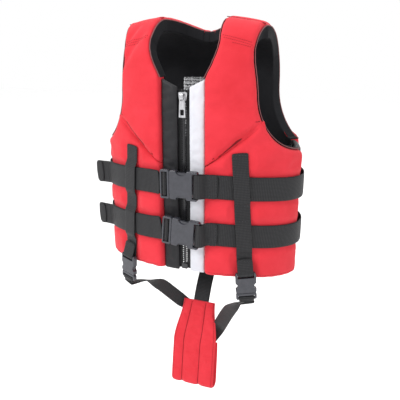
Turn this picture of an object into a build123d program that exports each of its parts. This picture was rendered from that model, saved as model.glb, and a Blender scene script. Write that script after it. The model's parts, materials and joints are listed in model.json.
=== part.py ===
"""Child's foam life jacket: zip front, two waist belts and a padded crotch strap.

Axes: +Z up, the front faces -Y and the wearer's left is +X. Everything is drawn with Z = 0 at
the hem and is then lowered, so that the origin is midway between the two undersides of the
shoulder straps, where the jacket rests on a wearer or a hanger.
"""
from build123d import *
from math import atan2, cos, degrees, hypot, radians, sin, sqrt
import os

# ---------------------------------------------------------------- driving dimensions (mm)
CHEST_A = 169.0             # half width of the foam's outer surface
CHEST_B = 97.0              # half depth of the foam's outer surface
FOAM = 20.0                 # foam panel thickness
LINING = 2.0                # inner fabric thickness
CREST_Z = 395.0             # top of the shoulder straps above the hem
RIDGE_Y = -30.0             # the crest of the shoulders lies in front of the middle
FRONT_RISE = 66.0           # height of the bend from the chest up to the crest
BACK_RISE = 72.0            # height of the bend from the back up to the crest
SEAM_HALF = 0.2             # half the clearance between neighbouring sewn panels

CENTRE_HALF = 36.0          # inner edge of the front foam panels
ZIP_GROOVE_HALF = 11.0      # inner edge of the thin centre strips
COLLAR_DIP_Z = 290.0        # top of the zip
COLLAR_EDGE_Z = 308.0       # collar height at the foam panels' inner edge
NECK_HALF = 51.0            # half width of the neck opening between the straps
NECK_BACK_Y = 34.0          # how far back the neck opening reaches
STRAP_OUT = 111.0           # outer edge of the shoulder straps
ARM_TURN_Z = 288.0          # where the armhole starts to curve outward
ARM_BOTTOM_Z = 207.0        # lowest point of the armhole
DART_X, DART_Z = 50.0, 190.0    # a point on the diagonal seam of each front
DART_SLOPE = 0.89           # rise of that seam per unit of width
SHOULDER_SEAM_Y = -37.0     # seam between the front panel and the shoulder strap
YOKE_SEAM_Y = 58.0          # seam between the shoulder strap and the back panel
SIDE_FRONT_Y = -8.0         # front seam of the thin side panel
SIDE_BACK_Y = 36.0          # back seam of the thin side panel

STRIP_RECESS = 9.0          # centre strips lie this far inside the foam's outer surface
STRIP_THICK = 4.0
SIDE_RECESS = 8.0           # side panels are thinner than the foam panels

WEB = 1.8                   # webbing thickness
WAIST_WEB = 38.0            # waist webbing width
CROTCH_WEB = 25.0           # keeper and crotch webbing width
BACK_WEB = 30.0             # width of the webbing from the back hem to the crotch pad
UPPER_BELT_Z = 150.0
LOWER_BELT_Z = 73.0
BELT_FRONT_X = 48.0         # where the belts leave the foam for the buckle
BELT_END_X = 45.6           # where the straight ends at the buckles begin
KEEPER_TOP = 204.0          # top end of the keeper straps
KEEPER_X = 101.0            # centre of the keeper straps at the hem
KEEPER_LEAN = 3.6           # degrees, the keepers lean in towards their top

BUCKLE_Y = -104.6           # mid plane of the waist buckles
LOWER_BUCKLE_X = 2.0
LOWER_BUCKLE_TILT = 4.0     # degrees

REST_Z = CREST_Z - FOAM - LINING    # underside of the shoulder straps
FAR = 260.0                 # reaches past the whole jacket
SIDES = {"left": 1, "right": -1}

os.makedirs("parts", exist_ok=True)


def save(node, *solids):
    """Write one node, lowered so that the shoulder rest is the origin."""
    flat = [s for shape in solids for s in shape.solids()]
    moved = [Location((0, 0, -REST_Z)) * s for s in flat]
    export_step(moved[0] if len(moved) == 1 else Compound(moved), f"parts/{node}.step")


# ---------------------------------------------------------------- outlines and prisms
def prism(points, plane, amount, both=False):
    """A straight prism on an outline of points."""
    return extrude(plane * make_face(Polyline(*points, close=True)), amount=amount, both=both)


def box(x, y, z):
    """A box from three (low, high) pairs."""
    size = [high - low for low, high in (x, y, z)]
    middle = [(high + low) / 2 for low, high in (x, y, z)]
    return Pos(*middle) * Box(*size)


def mirrored(shape, side):
    """The wearer's left shape, or its mirror image on the right."""
    return shape if side > 0 else mirror(shape, about=Plane.YZ)


# ---------------------------------------------------------------- the torso shell
def rectangle(x_low, x_high, y_low, y_high):
    """A flat rectangle between two corners."""
    return Pos((x_low + x_high) / 2, (y_low + y_high) / 2) * Rectangle(x_high - x_low, y_high - y_low)


def torso(inset):
    """The torso's solid form, inset from the foam's outer surface."""
    oval = Pos(0, 0, -1) * extrude(Ellipse(CHEST_A - inset, CHEST_B - inset), CREST_Z + 2)
    half, top = CHEST_B - inset, CREST_Z - inset
    front_z, back_z = CREST_Z - FRONT_RISE, CREST_Z - BACK_RISE
    front = Pos(RIDGE_Y, front_z) * Ellipse(half + RIDGE_Y, top - front_z)
    back = Pos(RIDGE_Y, back_z) * Ellipse(half - RIDGE_Y, top - back_z)
    profile = ((front & rectangle(-FAR, RIDGE_Y, front_z, FAR * 2)) + rectangle(-half, RIDGE_Y, -2, front_z)
               + (back & rectangle(RIDGE_Y, FAR, back_z, FAR * 2)) + rectangle(RIDGE_Y, half, -2, back_z))
    return oval & extrude(Plane.YZ * profile, FAR, both=True)


def shell(outer, inner):
    """The layer of the torso between two insets, from the hem up."""
    return torso(outer) - torso(inner) - box((-FAR, FAR), (-FAR, FAR), (-9, 0))


def armhole():
    """Everything outside the armhole edge, on both sides."""
    reach = 64.0
    drop = ARM_TURN_Z - ARM_BOTTOM_Z
    edge = [(STRAP_OUT, CREST_Z + 9), (STRAP_OUT, ARM_TURN_Z)]
    for step in range(1, 13):
        turn = radians(90 * step / 12)
        edge.append((STRAP_OUT + reach * (1 - cos(turn)), ARM_TURN_Z - drop * sin(turn)))
    edge += [(FAR, ARM_BOTTOM_Z), (FAR, CREST_Z + 9)]
    cut = prism(edge, Plane.XZ, FAR, both=True)
    return cut + mirror(cut, about=Plane.YZ)


def neck():
    """The neck opening: a collar at the front and a rounded yoke at the back."""
    half = [(0, COLLAR_DIP_Z), (CENTRE_HALF, COLLAR_EDGE_Z), (46, 327), (54.5, 351), (55.5, 363),
            (NECK_HALF, 380), (NECK_HALF, CREST_Z + 9)]
    outline = half + [(-x, z) for x, z in reversed(half[1:])]
    front = prism(outline, Plane.XZ, FAR)
    curve = extrude(Ellipse(NECK_HALF, NECK_BACK_Y), CREST_Z + 9)
    return front + (curve & box((-FAR, FAR), (-1, FAR), (300, CREST_Z + 9)))


def dart_prism(above):
    """The space above or below the left front's diagonal seam."""
    def height(x):
        return DART_Z + DART_SLOPE * (x - DART_X) + (SEAM_HALF if above else -SEAM_HALF)
    far_z = CREST_Z + 9 if above else -9
    return prism([(0, height(0)), (FAR, height(FAR)), (FAR, far_z), (0, far_z)], Plane.XZ, FAR)


OPENINGS = armhole() + neck()
foam = shell(0, FOAM) - OPENINGS
lining = shell(FOAM + 0.1, FOAM + LINING) - OPENINGS

UNDER_ARM_Z = 250.0         # above this height the shoulder and yoke seams divide the foam


def region(y_low, y_high, x_low=0.0, z_low=-9.0, z_high=CREST_Z + 9):
    """A block of space on the wearer's left."""
    return box((x_low, FAR), (y_low, y_high), (z_low, z_high))


FRONT_BLOCK = (region(-FAR, SIDE_FRONT_Y - SEAM_HALF, CENTRE_HALF, z_high=UNDER_ARM_Z)
               + region(-FAR, SHOULDER_SEAM_Y - SEAM_HALF, CENTRE_HALF, z_low=UNDER_ARM_Z))
STRAP_BLOCK = region(SHOULDER_SEAM_Y + SEAM_HALF, YOKE_SEAM_Y - SEAM_HALF, z_low=UNDER_ARM_Z)
SIDE_BLOCK = region(SIDE_FRONT_Y + SEAM_HALF, SIDE_BACK_Y - SEAM_HALF, z_high=UNDER_ARM_Z)
BACK_BLOCK = (box((-FAR, FAR), (SIDE_BACK_Y + SEAM_HALF, FAR), (-9, UNDER_ARM_Z))
              + box((-FAR, FAR), (YOKE_SEAM_Y + SEAM_HALF, FAR), (UNDER_ARM_Z, CREST_Z + 9)))

front_lower = foam & FRONT_BLOCK & dart_prism(above=False)
front_upper = foam & FRONT_BLOCK & dart_prism(above=True)
shoulder = foam & STRAP_BLOCK
side_panel = (shell(SIDE_RECESS, FOAM) - OPENINGS) & SIDE_BLOCK
lining_half = (lining & (FRONT_BLOCK + STRAP_BLOCK + SIDE_BLOCK
                         + region(SIDE_FRONT_Y - SEAM_HALF, SIDE_FRONT_Y + SEAM_HALF, z_high=UNDER_ARM_Z)
                         + region(SHOULDER_SEAM_Y - SEAM_HALF, SHOULDER_SEAM_Y + SEAM_HALF, z_low=UNDER_ARM_Z)))
for name, side in SIDES.items():
    save(f"front_lower_panel_{name}", mirrored(front_lower, side))
    save(f"front_upper_panel_{name}", mirrored(front_upper, side))
    save(f"shoulder_strap_{name}", mirrored(shoulder, side))
    save(f"side_panel_{name}", mirrored(side_panel, side))
    save(f"lining_{name}", mirrored(lining_half, side))
save("back_panel", foam & BACK_BLOCK)
save("lining_back", lining & BACK_BLOCK)

strips = shell(STRIP_RECESS, STRIP_RECESS + STRIP_THICK) - OPENINGS
strip = strips & box((ZIP_GROOVE_HALF, CENTRE_HALF - SEAM_HALF), (-FAR, 0), (0, CREST_Z))
save("centre_strip_white", strip)
save("centre_strip_black", mirrored(strip, -1))

LABEL_HALF, LABEL_Z = 58.0, (196.0, 296.0)
label = shell(FOAM + LINING + 0.2, FOAM + LINING + 0.8)
save("label_patch", label & box((-LABEL_HALF, LABEL_HALF), (0, FAR), LABEL_Z))

# ---------------------------------------------------------------- zip
TAPE_Y = -(CHEST_B - STRIP_RECESS - STRIP_THICK) + 1.3    # mid plane of the zip tape
TAPE_IN, TAPE_OUT = 3.5, 16.0
TOOTH_PITCH = 3.6
TOOTH_REACH = 1.5           # how far a tooth reaches past the middle of the chain
CHAIN_Z = (13.0, 276.0)
TAPE_TOP = 292.0
SLIDER_Z = 281.0            # middle of the closed zip's slider
SLIDER_W, SLIDER_H = 15.0, 13.0
PLATE_IN, PLATE_OUT = 2.7, 4.5      # the slider's plates, measured from the tape's mid plane
BRIDGE_OUT = 9.7            # front of the slider's bridge, from the tape's mid plane
PULL_Y = TAPE_Y - 6.4       # axis of the pull tab's hinge
PULL_Z = SLIDER_Z + 1.5
PULL_THICK = 1.6

tape = box((TAPE_IN, TAPE_OUT), (TAPE_Y - 0.5, TAPE_Y + 0.5), (2.0, TAPE_TOP))
tooth = (box((-TOOTH_REACH, TAPE_IN - 0.1), (-1.7, 1.7), (-0.75, 0.75))
         - box((TAPE_IN - 2.2, TAPE_IN - 1.0), (-2, 2), (0.35, 2)))
teeth_count = int((CHAIN_Z[1] - CHAIN_Z[0]) / TOOTH_PITCH)
for name, side in SIDES.items():
    save(f"zip_tape_{name}", mirrored(tape, side))
    offset = CHAIN_Z[0] + (0 if side > 0 else TOOTH_PITCH / 2)
    row = [Pos(0, TAPE_Y, offset + i * TOOTH_PITCH) * mirrored(tooth, side)
           for i in range(teeth_count)]
    save(f"zip_teeth_{name}", *row)

stop = box((1.4, TAPE_IN - 0.1), (TAPE_Y - 1.6, TAPE_Y + 1.6), (288.2, 291.4))
stop = fillet(stop.edges(), 0.4)
save("zip_top_stops", stop, mirrored(stop, -1))

foot = box((-5, 5), (TAPE_Y - 2.8, TAPE_Y + 2.6), (2, 11))
foot = fillet(foot.edges().filter_by(Axis.Y), 1.5)
for side in SIDES.values():
    foot -= mirrored(box((TAPE_IN - 0.2, 9), (TAPE_Y - 0.7, TAPE_Y + 0.7), (0, 14)), side)
save("zip_bottom_box", foot)


def slider():
    """Two plates joined by a post, with a bridge on the front that carries the pull."""
    half_w, half_h, taper = SLIDER_W / 2, SLIDER_H / 2, 2.2
    outline = make_face(Polyline((-half_w, half_h), (half_w, half_h), (half_w - taper, -half_h),
                                 (-half_w + taper, -half_h), close=True))
    plate = extrude(Plane.XZ * fillet(outline.vertices(), 2.2), PLATE_OUT - PLATE_IN)
    front = Pos(0, TAPE_Y - PLATE_IN, SLIDER_Z) * plate
    back = Pos(0, TAPE_Y + PLATE_OUT, SLIDER_Z) * plate
    post = Pos(0, TAPE_Y, SLIDER_Z + 4.2) * Box(2.6, 2 * PLATE_IN + 1, 3.6)
    out = BRIDGE_OUT - PLATE_OUT
    arch = make_face(Polyline((-4.3, -0.4), (5.4, -0.4), (5.4, out), (-4.3, out), close=True))
    arch = fillet(arch.vertices().sort_by(Axis.Y)[-2:], 2.4)
    arch -= make_face(Polyline((-2.5, 0), (3.6, 0), (3.6, out - 1.3), (-2.5, out - 1.3), close=True))
    side_on = Plane((0, TAPE_Y - PLATE_OUT, SLIDER_Z), x_dir=(0, 0, 1), z_dir=(1, 0, 0))
    if side_on.y_dir.Y > 0:
        side_on = Plane((0, TAPE_Y - PLATE_OUT, SLIDER_Z), x_dir=(0, 0, 1), z_dir=(-1, 0, 0))
    return front + back + post + extrude(side_on * arch, 2.2, both=True)


def pull():
    """The pull tab hanging from the bridge: a ring end, a flat grip and a slot near its foot."""
    top_half, end_half, length, top = 3.8, 5.4, 33.0, 0.9
    outline = make_face(Polyline((-top_half, top), (top_half, top), (end_half, top - length),
                                 (-end_half, top - length), close=True))
    outline = fillet(outline.vertices(), 0.8)
    outline -= Pos(0, -4.3) * RectangleRounded(5.2, 6.8, 0.4)
    outline -= Pos(0, -24.5) * RectangleRounded(6.0, 8.6, 1.2)
    return Pos(0, PULL_Y + PULL_THICK / 2, PULL_Z) * extrude(Plane.XZ * outline, PULL_THICK)


save("zip_slider", slider())
save("zip_pull", pull())
print("zip pull hinge", [0.0, round(PULL_Y, 3), round(PULL_Z - REST_Z, 3)])


# ---------------------------------------------------------------- webbing
def ribbon(path, thickness, width, plane, smooth=False):
    """Webbing that follows a path of points in a plane, centred on it and extruded both ways."""
    left, right = [], []
    last = len(path) - 1
    for i, (u, v) in enumerate(path):
        before, after = path[max(i - 1, 0)], path[min(i + 1, last)]
        into = (u - before[0], v - before[1])
        out = (after[0] - u, after[1] - v)
        headings = [atan2(d[1], d[0]) for d in (into, out) if hypot(*d) > 0]
        turn = (headings[-1] - headings[0] + 3.14159265) % 6.2831853 - 3.14159265
        heading = headings[0] + turn / 2
        reach = thickness / 2 / cos(turn / 2)
        left.append((u - reach * sin(heading), v + reach * cos(heading)))
        right.append((u + reach * sin(heading), v - reach * cos(heading)))
    if smooth:
        edges = [Spline(*left), Line(left[-1], right[-1]), Spline(*right), Line(right[0], left[0])]
        face = make_face(edges)
    else:
        face = make_face(Polyline(*left, *reversed(right), close=True))
    return extrude(plane * face, width / 2, both=True)


def oval_point(x, inset):
    """The front of the torso's oval, at x, inset from the foam's outer surface."""
    a, b = CHEST_A - inset, CHEST_B - inset
    return -b * sqrt(1 - (x / a) ** 2)


def around(centre, radius, start, end, steps=6):
    """Points on an arc in a plane, angles in degrees."""
    return [(centre[0] + radius * cos(radians(start + (end - start) * i / steps)),
             centre[1] + radius * sin(radians(start + (end - start) * i / steps)))
            for i in range(steps + 1)]


BELT_IN, BELT_OUT = -0.4, -2.2          # insets of the belts: they lie outside the foam
TAIL_IN, TAIL_OUT = -2.5, -4.1
BELTS = {"upper": UPPER_BELT_Z, "lower": LOWER_BELT_Z}
BAR_X = 28.7                # the female half's end bar, from the buckle's middle
BAR_WRAP = 3.95             # radius of the webbing's middle round that bar
LADDER_X = -23.9            # the ladder lock's middle bar
LADDER_WRAP = 3.1           # radius of the webbing's middle round it
LADDER_EXIT = -33.5         # where the threaded webbing ends and the free lead begins

for belt, height in BELTS.items():
    band = box((-FAR, FAR), (-FAR, FAR), (height - WAIST_WEB / 2, height + WAIST_WEB / 2))
    ring = (torso(BELT_OUT) - torso(BELT_IN)) & band
    save(f"{belt}_belt", ring - box((-BELT_FRONT_X, BELT_FRONT_X), (-FAR, 0), (0, CREST_Z)))

    level = Plane((0, 0, height), x_dir=(1, 0, 0), z_dir=(0, 0, 1))
    middle = LOWER_BUCKLE_X if belt == "lower" else 0.0
    tilt = LOWER_BUCKLE_TILT if belt == "lower" else 0.0
    place = Location((middle, BUCKLE_Y, height), (0, tilt, 0))
    y_in = oval_point(BELT_FRONT_X, (BELT_IN + BELT_OUT) / 2)
    wrap = around((BAR_X, 0), BAR_WRAP, 90, 270)
    inner = [(BELT_END_X - middle, y_in - 0.3 - BUCKLE_Y), (BAR_X + 9, 5.2)]
    outer = [(BAR_X + 8, -2.6), (BELT_END_X + 0.6 - middle, y_in - 2.9 - BUCKLE_Y)]
    save(f"{belt}_belt_left_end", place * ribbon(inner + wrap + outer, WEB, WAIST_WEB, Plane.XY))

    lead_from = (-BELT_END_X - middle, y_in - 0.3 - BUCKLE_Y)
    load_ply = [lead_from, (LADDER_EXIT - 0.8, 3.5)]
    tail_ply = [(lead_from[0], lead_from[1] - 2.1), (LADDER_EXIT - 0.8, 1.4)]
    save(f"{belt}_belt_lead", *[place * ribbon(ply, WEB, WAIST_WEB, Plane.XY)
                                for ply in (load_ply, tail_ply)])
    threaded = around((LADDER_X, 0), LADDER_WRAP, 90, -160, 8)
    fold = [(LADDER_EXIT, 3.5), (LADDER_X - 4.5, 3.4)] + threaded + [(-30.2, 1.3), (LADDER_EXIT, 1.4)]
    save(f"{belt}_belt_fold", place * ribbon(fold, WEB, WAIST_WEB, Plane.XY))

    tail_inset = (TAIL_IN + TAIL_OUT) / 2
    tail_path = [(x, oval_point(x, tail_inset)) for x in (-49, -62, -80, -98, -114, -128, -140, -150)]
    tail_path += [(-160, -40.5), (-172, -31.5), (-184, -22)]
    tail = ribbon(tail_path, TAIL_IN - TAIL_OUT, WAIST_WEB, level, smooth=True)
    stub = ribbon([(-171.2, -34.2), (-183.6, -24.4)], WEB, WAIST_WEB, level)
    save(f"{belt}_belt_tail", tail, stub)


# ---------------------------------------------------------------- side-release buckles
def buckle(web, length, thick, ladder):
    """A buckle along +X in its own frame: the male half enters from -X. Width runs along Z.

    Returns the female half, the male half and its two prongs (upper, lower).
    """
    width = web + 8.0
    half_w, half_l, half_t = width / 2, length / 2, thick / 2
    base = 15.5 if ladder else 11.0
    mouth = -half_l + base + 0.3
    bar = 4.6
    wall = 1.7
    slot = 4.0
    slot_half = web / 2 + 0.6
    cavity_end = half_l - bar - slot - 3.0
    arm_reach = cavity_end - 4.0
    window = (mouth + 0.30 * (cavity_end - mouth), cavity_end - 5.0)

    female = box((mouth, half_l), (-half_t, half_t), (-half_w, half_w))
    female = fillet(female.edges().filter_by(Axis.Y), 3.4)
    female = fillet(female.edges().filter_by(Axis.X) + female.edges().filter_by(Axis.Z), 1.6)
    female -= box((mouth - 1, cavity_end), (-half_t + wall, half_t - wall),
                  (-half_w + 2.6, half_w - 2.6))
    female -= box((half_l - bar - slot, half_l - bar), (-FAR, FAR), (-slot_half, slot_half))
    for face in (-1, 1):
        female -= Pos(half_l - bar / 2, face * 5.8, 0) * Box(bar + 2, 8.0, 2 * slot_half)
    scallop = (window[1] - window[0]) / 2
    middle = (window[0] + window[1]) / 2
    for end in (-1, 1):
        notch = Pos(middle, 0, end * (half_w + 2.0)) * Cylinder(scallop, thick + 2,
                                                             rotation=(90, 0, 0))
        female -= notch

    male_t = thick - 2 * wall - 0.6
    male = box((-half_l, mouth - 0.3), (-half_t + 0.9, half_t - 0.9), (-half_w, half_w))
    male = fillet(male.edges().filter_by(Axis.Y), 3.0)
    male = fillet(male.edges().filter_by(Axis.Z), 1.1)
    if ladder:
        slots = ((-half_l + 2.6, -half_l + 5.6), (-half_l + 8.6, -half_l + 12.2))
        grip = -half_l + 7.1
    else:
        slots = ((-half_l + 3.2, -half_l + 7.0),)
        grip = -half_l + 1.6
    for low, high in slots:
        male -= box((low, high), (-FAR, FAR), (-slot_half, slot_half))
    for face in (-1, 1):
        male -= Pos(grip, face * 5.5, 0) * Box(3.6, 8.0, 2 * slot_half)
    if ladder:
        male -= box((-half_l - 1, -half_l + 3), (-1.7, 9), (-slot_half, slot_half))
    male += box((mouth - 0.8, arm_reach - 3), (-male_t / 2, male_t / 2), (-3.0, 3.0))

    inside = half_w - 2.6 - 0.35
    root = inside - 5.6
    arm = [(mouth - 0.2, root - 4.2), (mouth - 0.2, root), (window[0] - 1.5, root + 1.4),
           (window[0] + 1.0, inside), (window[1] - 3.0, inside - 0.6), (arm_reach, root - 1.0),
           (arm_reach - 1.5, root - 3.6), (window[0], root - 3.2)]
    prong = extrude(Plane.XZ * fillet(make_face(Polyline(*arm, close=True)).vertices(), 0.8),
                    male_t / 2, both=True)
    return female, male, prong, mirror(prong, about=Plane.XY), (mouth, root - 2.1)


def save_buckle(name, parts, place):
    """Place one buckle and write its four nodes."""
    female, male, upper, lower, hinge = parts
    save(f"{name}_buckle_female", place * female)
    save(f"{name}_buckle_male", place * male)
    save(f"{name}_buckle_prong_a", place * upper)
    save(f"{name}_buckle_prong_b", place * lower)
    for label_text, sign in (("a", 1), ("b", -1)):
        point = (place * Pos(hinge[0], 0, sign * hinge[1])).position
        print(f"{name} prong {label_text} hinge",
              [round(v, 3) for v in point - Vector(0, 0, REST_Z)])
    along = (place * Pos(-1, 0, 0)).position - place.position
    across = (place * Pos(0, 1, 0)).position - place.position
    print(f"{name} release axis", [round(v, 6) for v in along])
    print(f"{name} prong axis", [round(v, 6) for v in across])


WAIST_BUCKLE = buckle(WAIST_WEB, 62.0, 9.0, ladder=True)
CROTCH_BUCKLE = buckle(CROTCH_WEB, 46.0, 8.0, ladder=False)
save_buckle("upper_waist", WAIST_BUCKLE, Location((0, BUCKLE_Y, UPPER_BELT_Z)))
save_buckle("lower_waist", WAIST_BUCKLE,
            Location((LOWER_BUCKLE_X, BUCKLE_Y, LOWER_BELT_Z), (0, LOWER_BUCKLE_TILT, 0)))

# ---------------------------------------------------------------- keeper and crotch straps
CROTCH_BAR_Z = 9.0          # height of the crotch buckle's bar above the hem
CROTCH_STAND = 6.6          # distance of the crotch buckle's mid plane from the foam


def keeper_plane(side):
    """A plane that touches the chest at the keeper strap: x across, y up the strap, z outward."""
    y = oval_point(KEEPER_X, 0)
    normal = Vector(side * KEEPER_X / CHEST_A ** 2, y / CHEST_B ** 2, 0).normalized()
    level = Vector(-normal.Y, normal.X, 0)
    lean = radians(side * KEEPER_LEAN)
    return Plane((side * KEEPER_X, y, 0), x_dir=level * cos(lean) + Vector(0, 0, sin(lean)),
                 z_dir=normal)


def strap(stations, width):
    """Webbing that twists along its way: each station is a centre and a rough width direction."""
    faces = []
    last = len(stations) - 1
    for i, (centre, hint) in enumerate(stations):
        along = (stations[min(i + 1, last)][0] - stations[max(i - 1, 0)][0]).normalized()
        across = (hint - along * hint.dot(along)).normalized()
        faces.append(Plane(centre, x_dir=across, z_dir=along) * Rectangle(width, WEB))
    return loft([face.face() for face in faces], ruled=True)


LIFT = 0.4 + WEB / 2
OVER_BELT = -TAIL_OUT + 0.3 + WEB / 2
keeper_path = [(LIFT, KEEPER_TOP)]
for height in (UPPER_BELT_Z, LOWER_BELT_Z):
    half = WAIST_WEB / 2
    keeper_path += [(LIFT, height + half + 12), (OVER_BELT, height + half + 2),
                    (OVER_BELT, height - half - 2), (LIFT, height - half - 12)]
keeper_path += [(LIFT, 24)]
keeper_path += around((CROTCH_STAND, CROTCH_BAR_Z), BAR_WRAP, 180, 360)
keeper_path += [(CROTCH_STAND - 1.0, 22), (LIFT + WEB + 0.3, 34)]

CROTCH_LONG = 46.0
CROTCH_GRIP = -CROTCH_LONG / 2 + 1.6        # the male half's bar, from the buckle's middle
crotch_centre = CROTCH_BAR_Z - (CROTCH_LONG / 2 - 2.3)
for name, side in SIDES.items():
    plane = keeper_plane(side)
    lengthwise = Plane(plane.origin, x_dir=plane.z_dir, z_dir=plane.x_dir)
    if lengthwise.y_dir.Z < 0:
        lengthwise = Plane(plane.origin, x_dir=plane.z_dir, z_dir=plane.x_dir * -1)
    save(f"keeper_strap_{name}", ribbon(keeper_path, WEB, CROTCH_WEB, lengthwise))

    centre = plane.from_local_coords((0, crotch_centre, CROTCH_STAND))
    frame = Plane(centre, x_dir=plane.y_dir, z_dir=plane.x_dir)
    save_buckle(f"crotch_{name}", CROTCH_BUCKLE, frame.location)

    loop = ([(CROTCH_GRIP - 6.6, 1.5)] + around((CROTCH_GRIP, 0), LADDER_WRAP + 0.1, 90, -90)
            + [(CROTCH_GRIP - 6.6, -1.5)])
    save(f"crotch_{name}_loop", frame.location * ribbon(loop, WEB, CROTCH_WEB, Plane.XY))
    top = plane.from_local_coords((0, crotch_centre + CROTCH_GRIP - 8.2, CROTCH_STAND))
    inward = plane.x_dir * -side
    stations = [(top, inward), (top - plane.y_dir * 8, inward + Vector(0, 0, 0.3)),
                (Vector(side * 84, -66, -74), Vector(side * -0.6, 0.2, 0.8)),
                (Vector(side * 65, -32, -101), Vector(0, 0, 1)),
                (Vector(side * 50, -2, -126), Vector(side * -0.3, 0, 1)),
                (Vector(side * 30, 3, -150), Vector(side * -1, 0, 0.5)),
                (Vector(side * 19, -4, -171), Vector(side * -1, 0, 0))]
    save(f"crotch_v_strap_{name}", strap(stations, CROTCH_WEB))

# ---------------------------------------------------------------- crotch pad
PAD_THICK = 8.0
PAD_TOP_HALF, PAD_HALF = 31.0, 40.0
PAD_TOP = (-8.0, -97.0)
PAD_LOW = (-36.0, -252.0)
PAD_REAR_TOP = (-12.0, -176.0)
side_plane = Plane((0, 0, 0), x_dir=(0, 1, 0), z_dir=(1, 0, 0))
fold = around((PAD_LOW[0] + 9.0, PAD_LOW[1]), 9.0, 190, 350)
pad_path = [PAD_TOP, (-22, -170)] + fold + [(-14, -215), PAD_REAR_TOP]
pad = ribbon(pad_path, PAD_THICK, 2 * PAD_HALF, side_plane)
waist = [(PAD_TOP_HALF, -90), (PAD_TOP_HALF + 2, -120), (PAD_HALF - 1, -200), (PAD_HALF, -225),
         (PAD_HALF - 1, -262), (PAD_HALF - 3, -275)]
pad &= prism(waist + [(-x, z) for x, z in reversed(waist)], Plane.XZ, FAR, both=True)
save("crotch_pad", pad)

INNER_Y = CHEST_B - FOAM - LINING - 0.4 - WEB / 2     # webbing sewn inside the back hem
web_path = [(INNER_Y, 34), (INNER_Y, -2), (62, -22),
            (42, -37), (20, -55), (4, -76), (-7.4, -92.6)]
save("crotch_back_webbing", ribbon(web_path, WEB, BACK_WEB, side_plane))
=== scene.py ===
"""The looks of a child's foam life jacket: sewn foam panels, webbing, buckles and a zip."""
import json
from math import asin, ceil, cos, pi, radians, sin, sqrt, tan

import bmesh
import bpy
import numpy as np
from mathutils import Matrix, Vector, noise
from mathutils.bvhtree import BVHTree


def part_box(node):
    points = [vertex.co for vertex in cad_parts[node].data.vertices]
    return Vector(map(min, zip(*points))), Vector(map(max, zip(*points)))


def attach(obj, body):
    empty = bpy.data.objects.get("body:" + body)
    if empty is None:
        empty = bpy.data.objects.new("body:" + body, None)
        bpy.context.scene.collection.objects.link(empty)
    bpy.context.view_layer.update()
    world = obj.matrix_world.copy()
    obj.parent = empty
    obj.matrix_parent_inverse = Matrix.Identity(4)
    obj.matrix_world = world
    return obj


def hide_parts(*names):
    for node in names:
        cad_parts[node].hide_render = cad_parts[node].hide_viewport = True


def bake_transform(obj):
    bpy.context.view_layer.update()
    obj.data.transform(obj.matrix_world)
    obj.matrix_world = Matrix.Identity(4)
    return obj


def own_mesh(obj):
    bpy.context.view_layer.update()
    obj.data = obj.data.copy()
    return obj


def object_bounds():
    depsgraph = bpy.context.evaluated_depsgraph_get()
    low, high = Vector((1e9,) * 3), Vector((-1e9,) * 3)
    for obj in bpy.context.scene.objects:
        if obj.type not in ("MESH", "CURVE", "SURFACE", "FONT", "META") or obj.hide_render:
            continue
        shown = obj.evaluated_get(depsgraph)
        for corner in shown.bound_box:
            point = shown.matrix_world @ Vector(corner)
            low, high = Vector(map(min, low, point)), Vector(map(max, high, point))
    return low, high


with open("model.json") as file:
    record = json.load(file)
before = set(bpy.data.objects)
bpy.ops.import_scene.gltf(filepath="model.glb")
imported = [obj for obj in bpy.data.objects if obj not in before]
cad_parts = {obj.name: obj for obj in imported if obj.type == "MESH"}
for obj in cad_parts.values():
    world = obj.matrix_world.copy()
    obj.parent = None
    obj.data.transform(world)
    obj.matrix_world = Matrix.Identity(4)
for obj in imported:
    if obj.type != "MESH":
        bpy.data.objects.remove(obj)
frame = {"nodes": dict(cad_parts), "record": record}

CAD_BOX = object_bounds()
JOINTS = {j["name"]: j for j in frame["record"]["behaviour"]["joints"]}
MM = 0.001

# ------------------------------------------------------------------ sizes, from the frame
BELT_STAND = 2.2 * MM                                   # belts' outer face above the foam
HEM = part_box("front_lower_panel_left")[0][2]            # lowest edge of the foam
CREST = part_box("shoulder_strap_left")[1][2] - HEM       # top of the straps above the hem
HALF_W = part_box("upper_belt")[1][0] - BELT_STAND        # half width of the foam's outer face
HALF_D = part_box("upper_belt")[1][1] - BELT_STAND        # half depth
BELT_Z = {b: (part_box(f"{b}_belt")[0][2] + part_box(f"{b}_belt")[1][2]) / 2 - HEM
          for b in ("upper", "lower")}
FOAM = 20 * MM
TURN = 0.14                 # metres across one radian of the torso, for grids and weaves
GRID = 4.6 * MM             # spacing of the foam panels' grids
INNER_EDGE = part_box("front_lower_panel_left")[0][0]     # inner edge of the front foam
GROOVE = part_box("centre_strip_white")[0][0]             # inner edge of the centre strips
NECK_X = 51 * MM            # straps' inner edge at the crest
NECK_BACK = 34 * MM         # back neckline, behind the middle
ARM_X = 111 * MM            # straps' outer edge
ARM_TURN = 288 * MM         # armhole: where it turns outward, and its lowest height
ARM_LOW = 207 * MM
ARM_REACH = 64 * MM
SEAM_Y = 37 * MM            # shoulder seam, in front of the middle
SEAM_END = 110 * MM         # its outer end
YOKE_Y = 58 * MM            # seam of the straps and the back panel, behind the middle
SIDE_FRONT = pi / 2 - 8 * MM / HALF_D                   # angles of the side panel's two seams
SIDE_BACK = pi / 2 + asin(36 * MM / HALF_D)
DART = ((36 * MM, 177.6 * MM), (121 * MM, 253.0 * MM))  # the diagonal seam, x and height
DART_OPEN = (52 * MM, 110 * MM)                         # between these the seam is a deep groove
KEEPER_X = 101 * MM          # keeper straps' middle at the hem
KEEPER_LEAN = radians(3.6)
KEEPER_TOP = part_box("keeper_strap_left")[1][2] - HEM
WEB = 1.8 * MM
WAIST_WEB = 38 * MM
CROTCH_WEB = 25 * MM
BACK_WEB = 30 * MM
SIDES = {"left": 1, "right": -1}


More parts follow.
